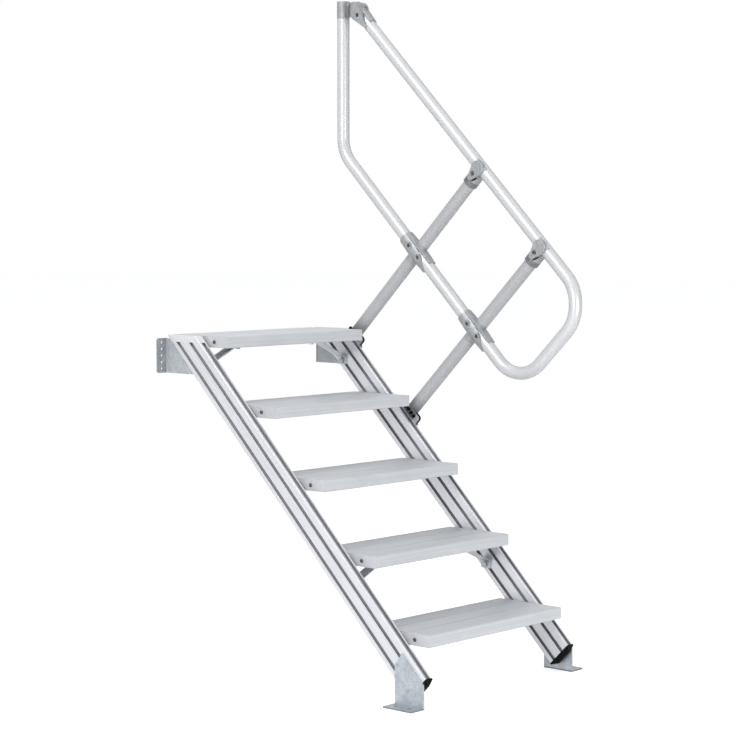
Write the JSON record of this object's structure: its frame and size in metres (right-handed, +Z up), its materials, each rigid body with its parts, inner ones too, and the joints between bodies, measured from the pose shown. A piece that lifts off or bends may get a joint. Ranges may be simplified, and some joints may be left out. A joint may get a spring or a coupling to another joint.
{
  "type": "industrial stair",
  "caption": "Straight bolted aluminium access stair with slotted stringers, boxed treads, wall and floor brackets, and a looped tubular handrail on one side.",
  "frame": {"origin": "centre of the underside of the left foot bracket's base flange, on the floor", "axes": "+Z up, +Y the way up the flight towards the wall, +X towards the handrail side"},
  "size_m": [0.786, 1.056, 2.0528],
  "materials": {
    "stringer_aluminium": "clear anodised, satin",
    "cap_aluminium": "satin",
    "tread_aluminium": "clear anodised, satin",
    "end_aluminium": "die cast, plain",
    "tube_aluminium": "clear anodised, satin",
    "post_aluminium": "clear anodised, satin",
    "cast_aluminium": "die cast, plain",
    "galvanised_steel": "hot-dip galvanised sheet",
    "black_plastic": "moulded"
  },
  "bodies": {
    "root": {"left_stringer": "stringer_aluminium", "left_end_cap": "black_plastic", "left_top_cap": "cap_aluminium", "left_foot_bracket": "galvanised_steel", "left_wall_bracket": "galvanised_steel", "tread_2_brace_left": "galvanised_steel", "tread_5_brace_left": "galvanised_steel", "right_stringer": "stringer_aluminium", "right_end_cap": "black_plastic", "right_top_cap": "cap_aluminium", "right_foot_bracket": "galvanised_steel", "right_wall_bracket": "galvanised_steel", "tread_2_brace_right": "galvanised_steel", "tread_5_brace_right": "galvanised_steel", "tread_1": "tread_aluminium", "tread_1_end_left": "end_aluminium", "tread_1_end_right": "end_aluminium", "tread_2": "tread_aluminium", "tread_2_end_left": "end_aluminium", "tread_2_end_right": "end_aluminium", "tread_3": "tread_aluminium", "tread_3_end_left": "end_aluminium", "tread_3_end_right": "end_aluminium", "tread_4": "tread_aluminium", "tread_4_end_left": "end_aluminium", "tread_4_end_right": "end_aluminium", "tread_5": "tread_aluminium", "tread_5_end_left": "end_aluminium", "tread_5_end_right": "end_aluminium", "handrail_tube": "tube_aluminium", "top_corner_clamp": "cast_aluminium", "lower_post_base": "post_aluminium", "lower_post_head": "post_aluminium", "lower_cross_clamp": "cast_aluminium", "lower_head_saddle": "cast_aluminium", "lower_tee_clamp": "cast_aluminium", "lower_post_foot": "cast_aluminium", "lower_post_plate": "cap_aluminium", "upper_post_base": "post_aluminium", "upper_post_head": "post_aluminium", "upper_cross_clamp": "cast_aluminium", "upper_head_saddle": "cast_aluminium", "upper_tee_clamp": "cast_aluminium", "upper_post_foot": "cast_aluminium", "upper_post_plate": "cap_aluminium"}
  },
  "joints": []
}
